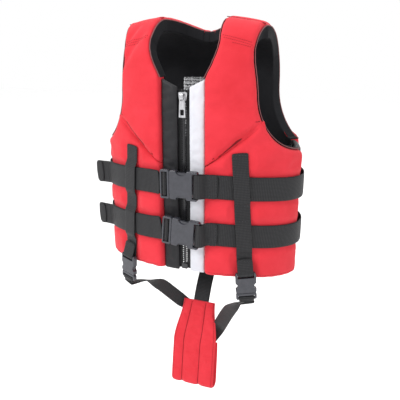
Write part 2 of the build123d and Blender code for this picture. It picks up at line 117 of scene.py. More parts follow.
# ------------------------------------------------------------------ materials
def make(tree, kind, inputs=None, **settings):
    """A shader node with its settings and unlinked inputs."""
    made = tree.nodes.new(kind)
    for key, value in settings.items():
        setattr(made, key, value)
    for key, value in (inputs or {}).items():
        made.inputs[key].default_value = value
    return made


def surface_material(name, rough, metallic=0.0, sheen=0.0, specular=0.5):
    """A material with its constant finish set on the shader itself."""
    material = bpy.data.materials.new(name)
    material.use_nodes = True
    shader = material.node_tree.nodes["Principled BSDF"]
    shader.inputs["Roughness"].default_value = rough
    shader.inputs["Metallic"].default_value = metallic
    shader.inputs["Sheen Weight"].default_value = sheen
    shader.inputs["Sheen Roughness"].default_value = 0.5
    shader.inputs["Specular IOR Level"].default_value = specular
    return material, material.node_tree, shader


def coordinates(tree, scale, attribute="cloth"):
    """Coordinates in metres, scaled: woven ones from the mesh, or the object's own."""
    mapping = make(tree, "ShaderNodeMapping", {"Scale": scale})
    if attribute:
        source = make(tree, "ShaderNodeAttribute", attribute_name=attribute)
        tree.links.new(source.outputs["Vector"], mapping.inputs["Vector"])
    else:
        source = make(tree, "ShaderNodeTexCoord")
        tree.links.new(source.outputs["Object"], mapping.inputs["Vector"])
    return mapping.outputs["Vector"]


def two_tone(tree, shader, factor, dark, light, low=0.35, high=0.65):
    """Base colour between two tones by a factor."""
    ramp = make(tree, "ShaderNodeValToRGB")
    ramp.color_ramp.elements[0].position = low
    ramp.color_ramp.elements[0].color = (*dark, 1)
    ramp.color_ramp.elements[1].position = high
    ramp.color_ramp.elements[1].color = (*light, 1)
    tree.links.new(factor, ramp.inputs["Fac"])
    tree.links.new(ramp.outputs["Color"], shader.inputs["Base Color"])


def bump(tree, shader, height, strength, distance, below=None):
    """Adds a bump, on top of another one if given."""
    made = make(tree, "ShaderNodeBump", {"Strength": strength, "Distance": distance})
    tree.links.new(height, made.inputs["Height"])
    if below:
        tree.links.new(below.outputs["Normal"], made.inputs["Normal"])
    tree.links.new(made.outputs["Normal"], shader.inputs["Normal"])
    return made


def wave(tree, vector, direction):
    """Bands across one direction: the coordinate's unit is one band."""
    made = make(tree, "ShaderNodeTexWave", {"Scale": pi / 10}, bands_direction=direction)
    tree.links.new(vector, made.inputs["Vector"])
    return made.outputs["Fac"]


def noise_of(tree, vector, detail=3.0, rough=0.6):
    """Soft noise over a coordinate whose unit is one blotch."""
    made = make(tree, "ShaderNodeTexNoise", {"Scale": 1.0, "Detail": detail, "Roughness": rough})
    tree.links.new(vector, made.inputs["Vector"])
    return made.outputs["Fac"]


def multiply(tree, a, b):
    """The product of two factors."""
    made = make(tree, "ShaderNodeMath", operation="MULTIPLY")
    tree.links.new(a, made.inputs[0])
    tree.links.new(b, made.inputs[1])
    return made.outputs["Value"]


def jersey(name, dark, light, rough=0.78, sheen=0.06, specular=0.25):
    """Stretch jersey over foam: fine knit columns, faint blotches and a soft nap."""
    material, tree, shader = surface_material(name, rough, sheen=sheen, specular=specular)
    knit = coordinates(tree, (1 / 0.0011, 1 / 0.0009, 1))
    columns = multiply(tree, wave(tree, knit, "X"), wave(tree, knit, "Y"))
    blotch = noise_of(tree, coordinates(tree, (22, 22, 22)))
    two_tone(tree, shader, blotch, dark, light, 0.3, 0.7)
    fine = bump(tree, shader, columns, 0.35, 0.0003)
    bump(tree, shader, noise_of(tree, coordinates(tree, (90, 90, 90))), 0.25, 0.0012, fine)
    return material


def webbing(name, dark, light):
    """Narrow woven webbing: ribs across its length and flat yarns along it."""
    material, tree, shader = surface_material(name, 0.55, sheen=0.02, specular=0.3)
    weave = coordinates(tree, (1 / 0.0026, 1 / 0.0021, 1))
    cells = multiply(tree, wave(tree, weave, "X"), wave(tree, weave, "Y"))
    two_tone(tree, shader, cells, dark, light, 0.1, 0.8)
    fine = bump(tree, shader, cells, 0.8, 0.0006)
    bump(tree, shader, noise_of(tree, coordinates(tree, (60, 60, 60))), 0.2, 0.001, fine)
    return material


def moulded(name, dark, light, rough):
    """Moulded plastic: satin, with a fine spark-eroded grain and faint scuffs."""
    material, tree, shader = surface_material(name, rough)
    scuffs = noise_of(tree, coordinates(tree, (180, 60, 180), None), 6.0, 0.7)
    two_tone(tree, shader, scuffs, dark, light, 0.35, 0.75)
    bump(tree, shader, noise_of(tree, coordinates(tree, (1900, 1900, 1900), None)), 0.25, 0.0002)
    return material


def cast_metal(name):
    """Plated zinc: bright, with fine scratches and duller hollows."""
    material, tree, shader = surface_material(name, 0.3, metallic=1.0)
    scratches = noise_of(tree, coordinates(tree, (900, 120, 120), None), 5.0, 0.7)
    two_tone(tree, shader, scratches, (0.32, 0.32, 0.34), (0.72, 0.72, 0.74), 0.3, 0.65)
    bump(tree, shader, scratches, 0.15, 0.0002)
    return material


def printed_label(name):
    """A black panel printed with a plain table: white rules and rows of unreadable dashes."""
    material, tree, shader = surface_material(name, 0.6)
    ruled = coordinates(tree, (1 / 0.0060, 1 / 0.0060, 1))
    cells = make(tree, "ShaderNodeTexBrick",
                 {"Color1": (0, 0, 0, 1), "Color2": (0, 0, 0, 1), "Mortar": (1, 1, 1, 1),
                  "Scale": 1.0, "Mortar Size": 0.07, "Mortar Smooth": 0.1, "Brick Width": 2.3,
                  "Row Height": 1.0}, offset=0.0)
    tree.links.new(ruled, cells.inputs["Vector"])
    rows = wave(tree, coordinates(tree, (0, 1 / 0.0030, 0)), "Y")
    dashes = multiply(tree, rows, noise_of(tree, coordinates(tree, (1 / 0.0011, 1 / 0.0028, 1)),
                                           0.0))
    cut = make(tree, "ShaderNodeMath", {1: 0.40}, operation="GREATER_THAN")
    tree.links.new(dashes, cut.inputs[0])
    either = make(tree, "ShaderNodeMath", operation="MAXIMUM")
    tree.links.new(cut.outputs["Value"], either.inputs[0])
    tree.links.new(cells.outputs["Color"], either.inputs[1])
    two_tone(tree, shader, either.outputs["Value"], (0.028, 0.028, 0.032), (0.75, 0.76, 0.78))
    return material


RED = jersey("red_jersey", (0.53, 0.017, 0.027), (0.60, 0.025, 0.039))
WHITE = jersey("white_jersey", (0.52, 0.525, 0.57), (0.58, 0.585, 0.62))
BLACK = jersey("black_jersey", (0.006, 0.006, 0.0075), (0.010, 0.010, 0.012), 0.5, 0.0, 0.3)
LINING = jersey("lining_jersey", (0.008, 0.008, 0.0095), (0.012, 0.012, 0.014), 0.85, 0.0, 0.15)
WEBBING = webbing("black_webbing", (0.004, 0.004, 0.005), (0.030, 0.030, 0.033))
TAPE = webbing("zip_tape_weave", (0.005, 0.005, 0.006), (0.016, 0.016, 0.018))
BUCKLE = moulded("buckle_plastic", (0.026, 0.027, 0.034), (0.042, 0.043, 0.054), 0.26)
TEETH = moulded("zip_plastic", (0.010, 0.010, 0.012), (0.022, 0.022, 0.025), 0.28)
METAL = cast_metal("zip_metal")
LABEL = printed_label("label_print")
RED_THREAD = jersey("red_thread", (0.20, 0.006, 0.010), (0.30, 0.010, 0.016), 0.6, 0.0)
# Dark red: painted shade in the bottoms of the dart and shoulder seam grooves, and the thread colour of
# the sewn stitch rows
SEAM_SHADE_AND_THREAD = jersey("seam_shade_and_thread", (0.13, 0.004, 0.007), (0.19, 0.006, 0.010), 0.8, 0.0)
BLACK_THREAD = jersey("black_thread", (0.035, 0.035, 0.038), (0.06, 0.06, 0.065), 0.5, 0.0)
OVERLOCK = jersey("overlock_thread", (0.14, 0.045, 0.050), (0.22, 0.09, 0.09), 0.7, 0.0)


# ------------------------------------------------------------------ the torso surface
RIDGE = 30 * MM                             # the crest lies this far in front of the middle
LEAST_REACH = 8 * MM                        # of the bend over the shoulder, near the arm
FRONT_RISE, FRONT_RUN = 66 * MM, 62 * MM    # the bend's height and the skin's length per radian
BACK_RISE, BACK_RUN, ARM_RISE = 68 * MM, 92 * MM, 22 * MM
ARM_FALL, NAPE_FALL = 10 * MM, 8 * MM       # how far the crest falls to the arm and to the nape
SIDE_SAG = 9 * MM                           # the soft sides hang lower than front and back
SAG_TOP, SAG_FADE = 0.17, 0.13              # full sag up to here, fading out over this height


def ease(t):
    """An even step from 0 to 1."""
    return t * t * (3 - 2 * t)


def outward(x):
    """How far across the strap a column lies, from the neck to the arm."""
    return np.clip((np.abs(x) - NECK_X) / (ARM_X - NECK_X), 0, 1)


def crest_height(x):
    """Height of the crest above the hem: it falls a little to the arm and to the nape."""
    inward = np.clip((NECK_X - np.abs(x)) / NECK_X, 0, 1)
    return CREST - ARM_FALL * outward(x) ** 1.2 - NAPE_FALL * ease(inward)


def arch(x, y0, facing):
    """The bend over the shoulder: its reach, its rise, its run per radian and its start."""
    reach = np.maximum(y0 + facing * RIDGE, LEAST_REACH)
    rise = np.where(facing < 0, FRONT_RISE, BACK_RISE + ARM_RISE * outward(x))
    run = np.where(facing < 0, FRONT_RUN, BACK_RUN)
    return reach, rise, run, crest_height(x) - rise


def torso(phi, v, out=0.0):
    """Points on the torso: phi turns from the front, v runs up from the hem and over the strap."""
    phi, v, out = np.broadcast_arrays(np.asarray(phi, float), np.asarray(v, float), out)
    x, y0 = HALF_W * np.sin(phi), HALF_D * np.abs(np.cos(phi))
    facing = -np.sign(np.cos(phi))
    reach, rise, run, turn = arch(x, y0, facing)
    bend = np.clip((v - turn) / run, 0, pi / 2)
    y = facing * (y0 - reach * (1 - np.cos(bend)))
    fade = ease(np.clip((v - SAG_TOP) / SAG_FADE, 0, 1))
    sag = SIDE_SAG * np.sin(phi) ** 2 * (1 - fade)
    z = HEM + np.minimum(v, turn) + rise * np.sin(bend) - sag
    nx, ny = np.sin(phi) / HALF_W, -np.cos(phi) / HALF_D
    level, climb = np.cos(bend) / reach, np.sin(bend) / rise
    length, slope = np.hypot(nx, ny), np.hypot(level, climb)
    normal = np.stack([nx / length * level / slope, ny / length * level / slope, climb / slope], -1)
    return np.stack([x, y, z], -1) + normal * out[..., None], normal


def v_at_z(x, z, facing=-1.0):
    """How far up the surface the height z lies, in the column at x."""
    y0 = HALF_D * sqrt(1 - (x / HALF_W) ** 2)
    _, rise, run, turn = (float(q) for q in arch(x, y0, facing))
    return z if z < turn else turn + run * asin(min((z - turn) / rise, 1))


def over(x, y):
    """Surface coordinates of a point on the strap, seen from above."""
    facing = -1.0 if y < -RIDGE else 1.0
    y0 = HALF_D * sqrt(1 - (x / HALF_W) ** 2)
    reach, _, run, turn = (float(q) for q in arch(x, y0, facing))
    bend = float(np.arccos(np.clip(facing * (y + RIDGE) / reach, 0, 1)))
    phi = asin(x / HALF_W)
    return phi if facing < 0 else pi - phi, turn + run * bend


def front(x, z):
    """Surface coordinates of a point seen from the front."""
    return asin(x / HALF_W), v_at_z(x, z)


def back(x, z):
    """Surface coordinates of a point seen from the back."""
    return pi - asin(x / HALF_W), v_at_z(x, z, 1.0)


def armhole(place, start, end, count):
    """The curved part of the armhole's edge: 0 is where it turns outward, pi / 2 its low point."""
    points = []
    for turn in np.linspace(start, end, count):
        x = min(ARM_X + ARM_REACH * (1 - cos(turn)), HALF_W * 0.995)
        points.append(place(x, ARM_TURN - (ARM_TURN - ARM_LOW) * sin(turn)))
    return points


def resample(points, count, turn=TURN):
    """Points at even spacing along a polyline; turn is how many metres one unit across is."""
    points = np.array(points, float)
    steps = np.hypot(np.diff(points[:, 0]) * turn, np.diff(points[:, 1]))
    along = np.concatenate([[0], np.cumsum(steps)])
    wanted = np.linspace(0, along[-1], count)
    return np.stack([np.interp(wanted, along, points[:, k]) for k in (0, 1)], -1)


def coons(bottom, top, left, right, spacing, turn=TURN):
    """A grid of coordinates between four edges, that all run up or outward."""
    def metres(line):
        line = np.array(line, float)
        return np.hypot(np.diff(line[:, 0]) * turn, np.diff(line[:, 1])).sum()
    n = max(4, ceil(max(metres(bottom), metres(top)) / spacing)) + 1
    m = max(4, ceil(max(metres(left), metres(right)) / spacing)) + 1
    low, high = resample(bottom, n, turn), resample(top, n, turn)
    near, far = resample(left, m, turn), resample(right, m, turn)
    s, u = np.linspace(0, 1, n)[None, :, None], np.linspace(0, 1, m)[:, None, None]
    grid = (1 - u) * low[None] + u * high[None] + (1 - s) * near[:, None] + s * far[:, None]
    grid -= (1 - s) * (1 - u) * low[0] + s * (1 - u) * low[-1]
    grid -= (1 - s) * u * high[0] + s * u * high[-1]
    return grid


def line_on(points, side=1, out=0.0, count=160):
    """A seam in space from its surface coordinates."""
    samples = resample(points, count)
    return torso(samples[:, 0] * side, samples[:, 1], out)


def line_over(points, side):
    """A seam in space from points seen from above on the strap."""
    samples = np.array([over(x, y) for x, y in resample(points, 160, 1.0)])
    return torso(samples[:, 0] * side, samples[:, 1])


# ------------------------------------------------------------------ mesh helpers
def mesh_object(name, points, faces, material, cloth=None, smooth=True):
    """A mesh object, with its cloth coordinates where it has them."""
    mesh = bpy.data.meshes.new(name)
    mesh.from_pydata([tuple(p) for p in points], [], [tuple(f) for f in faces])
    mesh.materials.append(material)
    if cloth is not None:
        data = mesh.attributes.new("cloth", "FLOAT_VECTOR", "POINT")
        data.data.foreach_set("vector", np.asarray(cloth, np.float32).ravel())
    mesh.polygons.foreach_set("use_smooth", [smooth] * len(mesh.polygons))
    made = bpy.data.objects.new(name, mesh)
    bpy.context.collection.objects.link(made)
    return made


def turn_outward(obj):
    """Makes a closed mesh's faces point outward."""
    work = bmesh.new()
    work.from_mesh(obj.data)
    bmesh.ops.recalc_face_normals(work, faces=work.faces)
    work.to_mesh(obj.data)
    work.free()


def subdivide(obj):
    """Adds one level of subdivision surface."""
    made = obj.modifiers.new("Subdivision", "SUBSURF")
    made.levels = 1
    made.render_levels = 1


PUFF_FRAMES = 16


def points_of(mesh):
    """A mesh's points as an array."""
    points = np.empty(len(mesh.vertices) * 3)
    mesh.vertices.foreach_get("co", points)
    return points.reshape(-1, 3)


def puff(obj, pinned, rest, pressure=4.0, grow=0.012, cap=5 * MM):
    """Blows a padded mesh up as cloth, with its seams held, and keeps the result."""
    scene = bpy.context.scene
    scene.frame_set(1)
    group = obj.vertex_groups.new(name="seams")
    group.add([int(i) for i in pinned], 1.0, "REPLACE")
    cloth = obj.modifiers.new("Cloth", "CLOTH")
    settings = cloth.settings
    settings.quality = 4
    settings.mass = 0.15
    settings.use_pressure = True
    settings.uniform_pressure_force = pressure
    settings.effector_weights.gravity = 0
    settings.vertex_group_mass = "seams"
    settings.shrink_min = -grow
    settings.tension_stiffness = settings.compression_stiffness = 12
    settings.bending_stiffness = 0.6
    cloth.collision_settings.use_collision = False
    cloth.point_cache.frame_start = 1
    cloth.point_cache.frame_end = PUFF_FRAMES
    for step in range(1, PUFF_FRAMES + 1):
        scene.frame_set(step)
    evaluated = obj.evaluated_get(bpy.context.evaluated_depsgraph_get())
    moved = points_of(evaluated.data)
    obj.modifiers.remove(cloth)
    scene.frame_set(1)
    shift = moved - rest
    length = np.linalg.norm(shift, axis=1, keepdims=True)
    shift *= np.minimum(1, cap / np.maximum(length, 1e-9))
    obj.data.vertices.foreach_set("co", (rest + shift).ravel())
    obj.data.update()


PRESS_EDGE = 1 * MM         # the foam is pressed in a little beyond a strap's edges
KEEPER_TURN = 0.149         # metres across one radian at the keeper straps


def keeper_phi(v):
    """The keeper strap's angle on the wearer's left, at a height: it leans in upward."""
    start = asin(KEEPER_X / HALF_W)
    per_turn = sqrt((HALF_W * cos(start)) ** 2 + (HALF_D * sin(start)) ** 2)
    return start - np.asarray(v) * tan(KEEPER_LEAN) / per_turn


def strap_limit(phi, v):
    """The highest that foam may stand, where belts and keeper straps press it in."""
    limit = np.full(np.shape(v), 1.0)
    for height in BELT_Z.values():
        beyond = np.maximum(np.abs(v - height) - WAIST_WEB / 2 - PRESS_EDGE, 0)
        limit = np.minimum(limit, -1.0 * MM + (beyond / (9 * MM)) ** 2 * 4 * MM)
    sideways = np.abs(np.abs(phi) - keeper_phi(v)) * KEEPER_TURN
    beyond = np.maximum(sideways - CROTCH_WEB / 2 - PRESS_EDGE, 0)
    above = np.maximum(v - KEEPER_TOP, 0)
    under_keeper = -0.3 * MM + (beyond / (8 * MM)) ** 2 * 3 * MM + (above / (6 * MM)) ** 2 * 3 * MM
    return np.minimum(limit, under_keeper)


def ruffle(p, size, seed):
    """Smooth noise about zero at points, with blotches of a size."""
    return np.array([noise.noise(Vector((a[0] / size, a[1] / size, a[2] / size + seed)))
                     for a in p])


def edge_distance(points, edge):
    """Distance to the nearest sample of an edge, its place along it and its index."""
    nearest = np.full(len(points), 9.0)
    index = np.zeros(len(points), int)
    along = np.concatenate([[0], np.cumsum(np.linalg.norm(np.diff(edge, axis=0), axis=1))])
    for i, sample in enumerate(edge):
        distance = np.linalg.norm(points - sample, axis=1)
        closer = distance < nearest
        nearest[closer] = distance[closer]
        index[closer] = i
    return nearest, along[index], index


def grid_faces(m, n):
    """Faces of a closed pad: an outer grid, an inner one and the rim between them."""
    index = np.arange(m * n).reshape(m, n)
    faces = []
    for i in range(m - 1):
        for j in range(n - 1):
            quad = (index[i, j], index[i, j + 1], index[i + 1, j + 1], index[i + 1, j])
            faces.append(quad)
            faces.append(tuple(q + m * n for q in reversed(quad)))
    rim = np.concatenate([index[0, :], index[1:, -1], index[-1, -2::-1], index[-2:0:-1, 0]])
    for a, b in zip(rim, np.roll(rim, -1)):
        faces.append((b, a, a + m * n, b + m * n))
    return faces, rim


def pad_panel(name, grid, seams, side, nodes, material, thick=FOAM, base=0.0,
              crown=1.2 * MM, radius=8 * MM, pucker=1.1 * MM, creases=(), grow=0.008, seed=1.0,
              limit=True):
    """A sewn foam panel: pillowed between its seams, puckered along them, then puffed as cloth.

    seams are (line in space, drop) pairs, or triples with the seam's own radius; drop is how far
    the skin falls at the seam, as a number or as one number for each point of the line.
    """
    m, n = grid.shape[:2]
    phi, v = grid[..., 0].ravel() * side, grid[..., 1].ravel()
    flat, normal = torso(phi, v, base)
    out = np.full(len(flat), float(base))
    for index, (line, drop, *own) in enumerate(seams):
        distance, place, nearest = edge_distance(flat, line)
        bend = own[0] if own else radius
        fall = np.broadcast_to(drop, len(line))[nearest]
        near = 1 - np.clip(distance / bend, 0, 1)
        out -= fall * (1 - np.sqrt(np.maximum(1 - near ** 2, 0)))
        waves = np.array([noise.noise(Vector((a / 0.012, d / 0.05, seed + 7 * index)))
                          for a, d in zip(place, distance)])
        strength = (fall / (8 * MM)) * np.exp(-distance / (9 * MM))
        out += waves * pucker * strength * np.clip(distance / (2 * MM), 0, 1)
        out += crown / 4 * (1 - np.exp(-distance / (24 * MM)))
    out += ruffle(flat, 0.045, seed) * 1.0 * MM
    for (start, end, depth, width) in creases:
        a, b = (torso(np.array([q[0] * side]), np.array([q[1]]), base)[0][0] for q in (start, end))
        along = np.clip(((flat - a) @ (b - a)) / ((b - a) @ (b - a)), 0, 1)
        away = np.linalg.norm(flat - (a + along[:, None] * (b - a)), axis=1)
        out -= depth * np.sin(np.clip(along, 0.03, 0.97) * pi) ** 0.4 * np.exp(-(away / width) ** 2)
    if limit:
        out = np.minimum(out, strap_limit(phi, v))
    skin, _ = torso(phi, v, out)
    inner, _ = torso(phi, v, base - thick)
    points = np.concatenate([skin, inner])
    faces, rim = grid_faces(m, n)
    cloth = np.stack([phi * TURN, v, np.zeros(len(v))], -1)
    obj = mesh_object(name, points, faces, material, np.concatenate([cloth, cloth]))
    turn_outward(obj)
    pinned = np.concatenate([rim, np.arange(m * n, 2 * m * n)])
    puff(obj, pinned, points, grow=grow, cap=3 * MM)
    if limit:
        settle(obj, m * n, phi, v, normal, base)
    subdivide(obj)
    finish_piece(obj, nodes)
    return obj


def settle(obj, count, phi, v, normal, base):
    """Presses a puffed skin back under the straps that cross it."""
    points = points_of(obj.data)
    level, _ = torso(phi, v, base)
    stand = ((points[:count] - level) * normal).sum(1)
    excess = np.maximum(stand - (strap_limit(phi, v) - base), 0)
    points[:count] -= normal * excess[:, None]
    obj.data.vertices.foreach_set("co", points.ravel())
    obj.data.update()


def finish_piece(obj, nodes, body="root"):
    """Hides the CAD nodes that a piece stands for, and gives it its body."""
    if nodes:
        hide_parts(*nodes)
    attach(obj, body)


# ------------------------------------------------------------------ foam panels
def dart_drop(line):
    """The diagonal seam is a deep groove in its middle and closes up at both ends."""
    x = np.abs(line[:, 0])
    rise = np.clip((x - DART_OPEN[0] + 6 * MM) / (12 * MM), 0, 1)
    fall = np.clip((DART_OPEN[1] + 5 * MM - x) / (11 * MM), 0, 1)
    return 12 * MM * rise * fall + 0.15 * MM


INNER_PHI = asin(INNER_EDGE / HALF_W)
dart_in, dart_out = front(*DART[0]), front(*DART[1])
arm_start = float(np.arccos(1 - (DART[1][0] - ARM_X) / ARM_REACH))
arm_low = armhole(front, arm_start, pi / 2, 17) + [(SIDE_FRONT, ARM_LOW)]
arm_high = armhole(front, arm_start, 0, 8)
arm_high += [front(x * MM, z * MM) for x, z in ((109, 308), (105.5, 332), (104, 350), (105.5, 366))]
arm_high.append(over(SEAM_END, -SEAM_Y))
neckline = [front(x * MM, z * MM) for x, z in ((36, 308), (40, 316), (46, 327), (51, 339),
                                               (54.5, 351), (55.5, 363), (54, 374))]
neckline.append(over(NECK_X, -SEAM_Y))
shoulder_seam = [(x, -SEAM_Y) for x in np.linspace(NECK_X, SEAM_END, 6)]
lower_edges = ([(INNER_PHI, 0.0), (SIDE_FRONT, 0.0)], [dart_in, dart_out] + arm_low[1:],
               [(INNER_PHI, 0.0), dart_in], [(SIDE_FRONT, 0.0), (SIDE_FRONT, ARM_LOW)])
upper_edges = ([dart_in, dart_out], [over(x, y) for x, y in shoulder_seam],
               [dart_in] + neckline, arm_high)
back_seam = [(SIDE_BACK, 0.0), (SIDE_BACK, ARM_LOW + 6 * MM)]
side_edges = ([(SIDE_FRONT, 0.0), (SIDE_BACK, 0.0)],
              [(SIDE_FRONT, ARM_LOW), (pi / 2, ARM_LOW), back_seam[1]],
              [(SIDE_FRONT, 0.0), (SIDE_FRONT, ARM_LOW)], back_seam)
neck_curve = [(NECK_X * cos(t), -SEAM_Y + (SEAM_Y + NECK_BACK) * sin(t))
              for t in np.linspace(0, pi / 2, 16)]
strap_outer = [(SEAM_END, -SEAM_Y), (112 * MM, -12 * MM), (112 * MM, 25 * MM), (ARM_X, YOKE_Y)]
yoke_line = [(0, YOKE_Y), (ARM_X, YOKE_Y)]
shoulder_edges = (shoulder_seam, yoke_line, neck_curve + [(0, YOKE_Y)], strap_outer)

lower_grid = coons(*lower_edges, GRID)
upper_grid = coons(*upper_edges, GRID)
side_grid = coons(*side_edges, GRID)
shoulder_plan = coons(*shoulder_edges, GRID, 1.0)
shoulder_grid = np.array([[over(x, y) for x, y in row] for row in shoulder_plan])

CREASES = {                     # from, to, depth and width
    "left": [(front(57 * MM, 356 * MM), front(84 * MM, 350 * MM), 3.0 * MM, 6 * MM),
             (front(60 * MM, 366 * MM), front(102 * MM, 356 * MM), 1.6 * MM, 3 * MM)],
    "right": [(front(101 * MM, 326 * MM), front(66 * MM, 372 * MM), 7.0 * MM, 7 * MM),
              (front(97 * MM, 354 * MM), front(80 * MM, 380 * MM), 4.0 * MM, 5 * MM)],
}
HEM_DROP, ARM_DROP, SEAM_DROP = 7 * MM, 7 * MM, 2.6 * MM    # how far the skin falls at a seam
FRONT_DROP, SIDE_DROP, YOKE_DROP = 5.5 * MM, 5 * MM, 2 * MM
DART_RADIUS, SEAM_RADIUS = 10 * MM, 5 * MM                  # of the foam's rounding beside it
SIDE_IN, SIDE_THICK = 7 * MM, 11 * MM                       # the thin side panels are set in
panels = {}
for who, side in SIDES.items():
    seed = 3.0 * side
    dart = line_on([dart_in, dart_out], side)[0]
    dart_seam = (dart, dart_drop(dart), DART_RADIUS)
    arm_seam = (line_on(list(reversed(arm_low)) + arm_high[1:], side, count=240)[0], ARM_DROP)
    top_seam = (line_over(shoulder_seam, side)[0], SEAM_DROP, SEAM_RADIUS)
    panels[f"lower_{who}"] = pad_panel(
        f"front_lower_cover_{who}", lower_grid,
        [(line_on(lower_edges[0], side)[0], HEM_DROP), dart_seam, arm_seam,
         (line_on([(INNER_PHI, 0.0), dart_in] + neckline[:1], side)[0], FRONT_DROP),
         (line_on(lower_edges[3], side)[0], SIDE_DROP)],
        side, [f"front_lower_panel_{who}"], RED, seed=seed + 1)
    panels[f"upper_{who}"] = pad_panel(
        f"front_upper_cover_{who}", upper_grid,
        [dart_seam, top_seam, arm_seam,
         (line_on([(INNER_PHI, 100 * MM), dart_in] + neckline, side)[0], FRONT_DROP)],
        side, [f"front_upper_panel_{who}"], RED, seed=seed + 2,
        creases=CREASES[who])
    pad_panel(
        f"shoulder_strap_cover_{who}", shoulder_grid,
        [top_seam, (line_over(neck_curve, side)[0], 5 * MM),
         (line_over(strap_outer, side)[0], 6.5 * MM), (line_over(yoke_line, side)[0], YOKE_DROP)],
        side, [f"shoulder_strap_{who}"], RED, crown=0.6 * MM, seed=seed + 3)
    pad_panel(
        f"side_cover_{who}", side_grid,
        [(line_on(e, side, -SIDE_IN)[0], d * MM) for e, d in zip(side_edges, (4, 4, 2, 2))],
        side, [f"side_panel_{who}"], BLACK, thick=SIDE_THICK, base=-SIDE_IN,
        seed=seed + 5, radius=7 * MM)

arm_end = HALF_W * sin(SIDE_BACK) - 3 * MM
back_arm = [q for q in armhole(back, pi / 2, 0, 16) if HALF_W * sin(q[0]) < arm_end]
back_right = back_seam + back_arm + [over(ARM_X, YOKE_Y)]
back_left = [(2 * pi - p, q) for p, q in back_right]
back_top = [over(x, YOKE_Y) for x in np.linspace(ARM_X, 0, 9)]
back_top += [(2 * pi - p, q) for p, q in reversed(back_top[:-1])]
back_hem = [(SIDE_BACK, 0.0), (2 * pi - SIDE_BACK, 0.0)]
back_grid = coons(back_hem, back_top, back_right, back_left, 5.4 * MM)
panels["back"] = pad_panel(
    "back_cover", back_grid,
    [(line_on(back_hem)[0], HEM_DROP), (line_on(back_top)[0], YOKE_DROP),
     (line_on(back_right, count=240)[0], ARM_DROP), (line_on(back_left, count=240)[0], ARM_DROP)],
    1, ["back_panel"], RED, seed=9.0)


# ------------------------------------------------------------------ centre strips
STRIP_TOPS = (295 * MM, 307 * MM)       # at their inner and outer edges
for who, side, paint, slot, near, puffed in (
        ("white", 1, WHITE, "white_shell", GROOVE, 0.6 * MM),
        ("black", -1, BLACK, "black_shell", 8.6 * MM, 2.6 * MM)):
    inner, outer = asin(near / HALF_W), asin((INNER_EDGE - 0.3 * MM) / HALF_W)
    feet, tops = [(inner, 0.0), (outer, 0.0)], list(zip((inner, outer), STRIP_TOPS))
    strip_edges = (feet, tops, [feet[0], tops[0]], [feet[1], tops[1]])
    pad_panel(f"centre_strip_cover_{who}", coons(*strip_edges, 3.4 * MM),
              [(line_on(e, side, -9 * MM, 300)[0], d * MM)
               for e, d in zip(strip_edges, (1.8, 1.8, 1.6, 0.8))],
              side, [f"centre_strip_{who}"], paint, thick=4 * MM, base=-8.6 * MM,
              crown=puffed, radius=5 * MM, pucker=0.6 * MM, seed=4.0 + side,
              grow=0.015, limit=False)


# ------------------------------------------------------------------ lining
def sweep(runs, width, thick):
    """Flat strips swept along (centre, across) pairs, with thin rounded edges."""
    half, lip = width / 2, thick / 2
    turn = min(0.5 * MM, half * 0.3)
    ring = [(-half, 0), (-half + turn, lip * 0.85), (-half * 0.5, lip), (0, lip),
            (half * 0.5, lip), (half - turn, lip * 0.85), (half, 0),
            (half - turn, -lip * 0.85), (half * 0.5, -lip), (0, -lip), (-half * 0.5, -lip),
            (-half + turn, -lip * 0.85)]
    points, faces, cloth = [], [], []
    size = len(ring)
    for run in runs:
        start, length, last = len(points), 0.0, len(run) - 1
        centres = [Vector(c) for c, _ in run]
        for i, (_, across) in enumerate(run):
            along = (centres[min(i + 1, last)] - centres[max(i - 1, 0)]).normalized()
            across = Vector(across)
            across = (across - along * across.dot(along)).normalized()
            up = along.cross(across)
            if i:
                length += (centres[i] - centres[i - 1]).length
            for a, b in ring:
                points.append(centres[i] + across * a + up * b)
                cloth.append((length, a, 0))
        for i in range(last):
            for j in range(size):
                k = (j + 1) % size
                faces.append((start + i * size + j, start + i * size + k,
                              start + (i + 1) * size + k, start + (i + 1) * size + j))
        faces.append(tuple(start + j for j in reversed(range(size))))
        faces.append(tuple(start + last * size + j for j in range(size)))
    return points, faces, cloth


def edge_run(line, middle, low, high, push):
    """Centres and directions of a strip that stands on a panel's cut edge."""
    points, normals = line
    run = []
    for i in range(len(points)):
        along = points[min(i + 1, len(points) - 1)] - points[max(i - 1, 0)]
        away = np.cross(along, normals[i])
        away /= np.linalg.norm(away)
        if away @ (points[i] - middle) < 0:
            away = -away
        centre = points[i] + normals[i] * (low + high) / 2 + away * push
        run.append((Vector(centre), Vector(normals[i])))
    return run


def joined(name, parts, material, nodes, body="root"):
    """One object out of several sets of points, faces and cloth coordinates."""
    points, faces, cloth = [], [], []
    for p, f, c in parts:
        faces += [tuple(int(q) + len(points) for q in face) for face in f]
        points += [tuple(q) for q in p]
        cloth += [tuple(q) for q in c]
    obj = mesh_object(name, points, faces, material, cloth)
    turn_outward(obj)
    subdivide(obj)
    finish_piece(obj, nodes, body)
    return obj


def sheet(grid, side, out):
    """A thin doubled sheet over a grid of surface coordinates, a little larger than it."""
    grid = grid.copy()
    grid[0] += (grid[0] - grid[1]) * 0.7
    grid[-1] += (grid[-1] - grid[-2]) * 0.7
    grid[:, 0] += (grid[:, 0] - grid[:, 1]) * 0.4
    grid[:, -1] += (grid[:, -1] - grid[:, -2]) * 0.4
    m, n = grid.shape[:2]
    phi, v = grid[..., 0].ravel() * side, grid[..., 1].ravel()
    rear, _ = torso(phi, v, out)
    face, _ = torso(phi, v, out - 1.8 * MM + ruffle(rear, 0.03, 2.5) * 0.7 * MM)
    cloth = np.stack([phi * TURN, v, np.zeros(len(v))], -1)
    return np.concatenate([face, rear]), grid_faces(m, n)[0], np.concatenate([cloth, cloth])


LINING_OUT = -FOAM + 0.4 * MM
RIM_LOW, RIM_HIGH = -FOAM - 1.5 * MM, -4.2 * MM
beads = []


